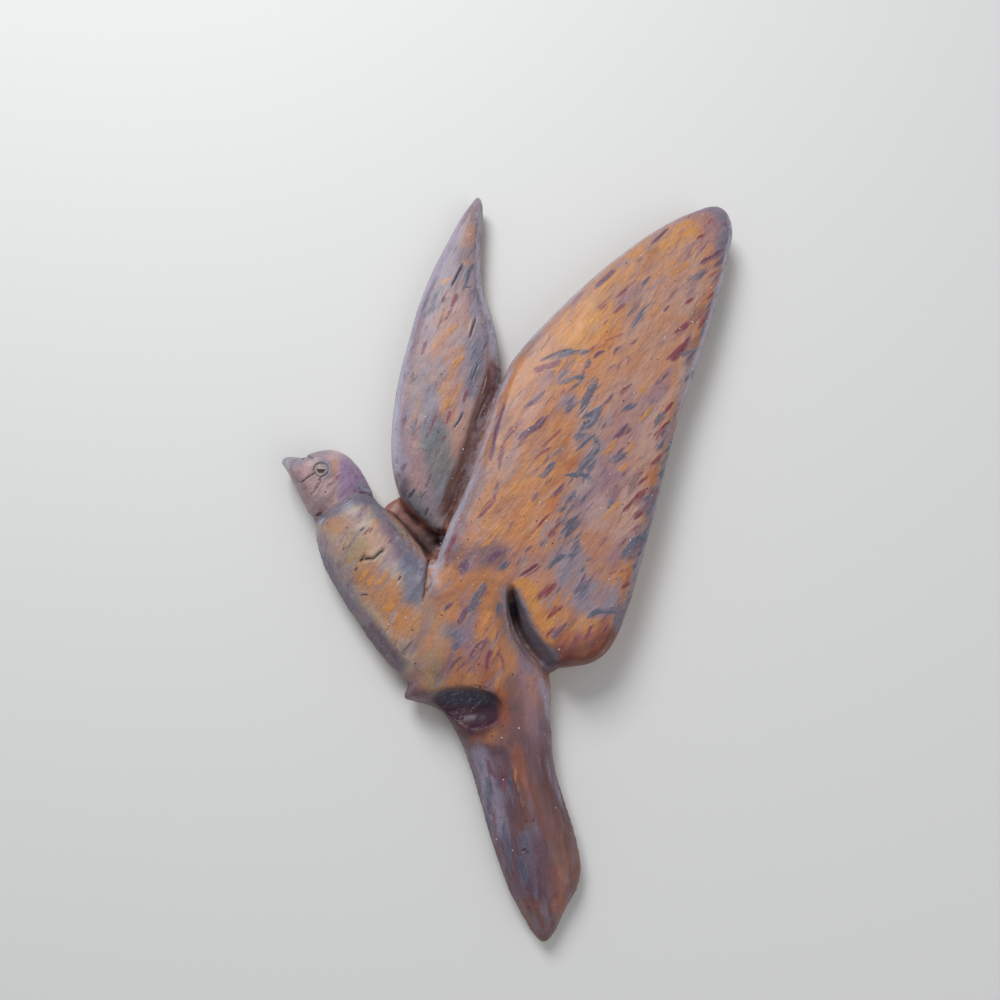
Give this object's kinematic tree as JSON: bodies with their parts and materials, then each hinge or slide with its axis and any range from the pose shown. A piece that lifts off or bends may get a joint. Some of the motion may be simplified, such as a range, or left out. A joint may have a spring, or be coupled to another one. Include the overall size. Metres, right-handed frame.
{
  "type": "bird carving",
  "caption": "Flat relief-carved wooden bird in flight, with a turned-aside head, raised wings, a tapered tail and a flat back.",
  "frame": {"origin": "under the middle of the outline, on the plane of the flat back", "axes": "+X from the beak towards the tip of the big wing, +Y from the tail tip to the wing tips, +Z out of the carved face"},
  "size_m": [0.0694, 0.1112, 0.0105],
  "materials": {
    "stained_wood": "satin varnish over hand-brushed brown, orange, purple and slate stain"
  },
  "bodies": {
    "root": {"bird_carving": "stained_wood"}
  },
  "joints": []
}
